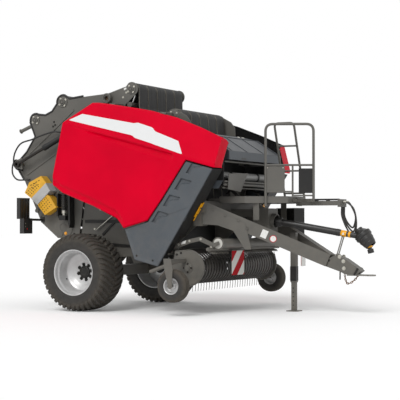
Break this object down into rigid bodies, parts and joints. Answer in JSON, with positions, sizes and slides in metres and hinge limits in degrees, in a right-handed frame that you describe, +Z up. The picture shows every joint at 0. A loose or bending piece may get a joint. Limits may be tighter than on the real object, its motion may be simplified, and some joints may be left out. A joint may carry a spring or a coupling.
{
  "type": "round baler",
  "caption": "Towed round baler with belts, hinged tailgate, side covers, pick-up, drawbar, jack, drive shaft and platform.",
  "frame": {"origin": "bottom centre of the machine on the ground, without its free hoses", "axes": "+X forward to the hitch, +Y to the left of travel, +Z up"},
  "size_m": [5.1113, 3.074, 3.0409],
  "materials": {
    "frame": "satin",
    "red": "gloss",
    "panel": "satin",
    "black": "satin",
    "belt": "matte",
    "tyre": "matte",
    "silver": "satin",
    "bare": "brushed",
    "yellow": "satin",
    "white": "satin",
    "hose": "matte"
  },
  "bodies": {
    "chassis": {"chamber_frame": "frame", "top_roller": "black", "front_roller": "black", "lower_roller": "black", "front_belts": "belt", "feed_housing": "black", "axle": "frame", "drawbar": "frame", "hitch_eye": "bare", "jack_sleeve": "frame", "gearbox": "frame", "shaft_stand": "bare", "platform": "frame", "guard_rail": "frame", "ladder": "frame", "hose_arm": "frame", "left_reflector": "white", "valve_box": "black", "net_box": "black", "left_front_panel": "panel", "right_front_panel": "panel", "front_hose_1": "hose", "front_hose_2": "hose", "front_hose_3": "hose"},
    "tailgate": {"tailgate_frame": "frame", "rear_belts": "belt", "chock_holder": "bare", "upper_chock": "yellow", "lower_chock": "yellow", "right_tail_light": "black", "left_tail_light": "black", "rear_hose_1": "hose", "rear_hose_2": "hose"},
    "right_barrel": {"right_cylinder_barrel": "black"},
    "right_rod": {"right_cylinder_rod": "bare"},
    "left_barrel": {"left_cylinder_barrel": "black"},
    "left_rod": {"left_cylinder_rod": "bare"},
    "right_cover": {"right_side_cover": "red"},
    "left_cover": {"left_side_cover": "red"},
    "net_lid": {"net_box_lid": "panel"},
    "right_wheel": {"right_tyre": "tyre", "right_rim": "silver"},
    "left_wheel": {"left_tyre": "tyre", "left_rim": "silver"},
    "jack": {"jack_leg": "frame"},
    "shaft": {"drive_shaft": "black"},
    "yoke": {"drive_yoke": "black"},
    "pickup": {"pickup_frame": "frame"},
    "reel": {"pickup_reel": "frame"},
    "guard": {"windguard": "frame"},
    "crop_roll": {"crop_roller": "silver"},
    "right_gauge": {"right_gauge_wheel": "tyre"},
    "left_gauge": {"left_gauge_wheel": "tyre"}
  },
  "joints": [
    {"name": "tailgate_hinge", "type": "hinge", "parent": "chassis", "child": "tailgate", "pos_m": [-1.035, 0, 2.837], "axis": [0, 1, 0], "range_deg": [0, 60]},
    {"name": "right_barrel_pin", "type": "hinge", "parent": "chassis", "child": "right_barrel", "pos_m": [-0.925, -0.792, 2.69], "axis": [0, 1, 0], "range_deg": [0, 60]},
    {"name": "right_rod_slide", "type": "slide", "parent": "right_barrel", "child": "right_rod", "axis": [-0.9034, 0, -0.4287], "range_m": [0, 0.15]},
    {"name": "left_barrel_pin", "type": "hinge", "parent": "chassis", "child": "left_barrel", "pos_m": [-0.925, 0.792, 2.69], "axis": [0, 1, 0], "range_deg": [0, 60]},
    {"name": "left_rod_slide", "type": "slide", "parent": "left_barrel", "child": "left_rod", "axis": [-0.9034, 0, -0.4287], "range_m": [0, 0.15]},
    {"name": "right_cover_hinge", "type": "hinge", "parent": "chassis", "child": "right_cover", "pos_m": [-0.835, -0.868, 2.725], "axis": [-0.9832, 0, 0.1828], "range_deg": [0, 70]},
    {"name": "left_cover_hinge", "type": "hinge", "parent": "chassis", "child": "left_cover", "pos_m": [-0.835, 0.868, 2.725], "axis": [0.9832, 0, -0.1828], "range_deg": [0, 70]},
    {"name": "net_lid_hinge", "type": "hinge", "parent": "chassis", "child": "net_lid", "pos_m": [0.341, 0, 2.326], "axis": [0, -1, 0], "range_deg": [0, 60]},
    {"name": "right_wheel_spin", "type": "hinge", "parent": "chassis", "child": "right_wheel", "pos_m": [-1.175, -1.045, 0.51], "axis": [0, 1, 0], "continuous": true},
    {"name": "left_wheel_spin", "type": "hinge", "parent": "chassis", "child": "left_wheel", "pos_m": [-1.175, 1.045, 0.51], "axis": [0, 1, 0], "continuous": true},
    {"name": "jack_slide", "type": "slide", "parent": "chassis", "child": "jack", "axis": [0, 0, 1], "range_m": [0, 0.34]},
    {"name": "shaft_lift", "type": "hinge", "parent": "chassis", "child": "shaft", "pos_m": [1.17, 0, 1.179], "axis": [0, -1, 0], "range_deg": [0, 8]},
    {"name": "yoke_spin", "type": "hinge", "parent": "shaft", "child": "yoke", "pos_m": [2.42703, 0, 0.92263], "axis": [0.2727, 0, -0.9621], "continuous": true},
    {"name": "pickup_lift", "type": "hinge", "parent": "chassis", "child": "pickup", "pos_m": [-0.025, 0, 0.83], "axis": [0, 1, 0], "range_deg": [0, 15]},
    {"name": "reel_spin", "type": "hinge", "parent": "pickup", "child": "reel", "pos_m": [0.425, 0, 0.592], "axis": [0, 1, 0], "continuous": true},
    {"name": "guard_lift", "type": "hinge", "parent": "pickup", "child": "guard", "pos_m": [0.17, 0, 0.856], "axis": [0, -1, 0], "range_deg": [0, 10]},
    {"name": "crop_roller_spin", "type": "hinge", "parent": "guard", "child": "crop_roll", "pos_m": [0.775, 0, 0.9], "axis": [0, 1, 0], "continuous": true},
    {"name": "right_gauge_spin", "type": "hinge", "parent": "pickup", "child": "right_gauge", "pos_m": [0.415, -1.44, 0.38], "axis": [0, 1, 0], "continuous": true},
    {"name": "left_gauge_spin", "type": "hinge", "parent": "pickup", "child": "left_gauge", "pos_m": [0.415, 1.44, 0.38], "axis": [0, 1, 0], "continuous": true}
  ],
  "couplings": [
    {"joint": "right_barrel_pin", "follows": "tailgate_hinge", "ratio": 0.93602},
    {"joint": "right_rod_slide", "follows": "tailgate_hinge", "m_per_rad": 0.13536},
    {"joint": "left_barrel_pin", "follows": "tailgate_hinge", "ratio": 0.93602},
    {"joint": "left_rod_slide", "follows": "tailgate_hinge", "m_per_rad": 0.13536}
  ]
}
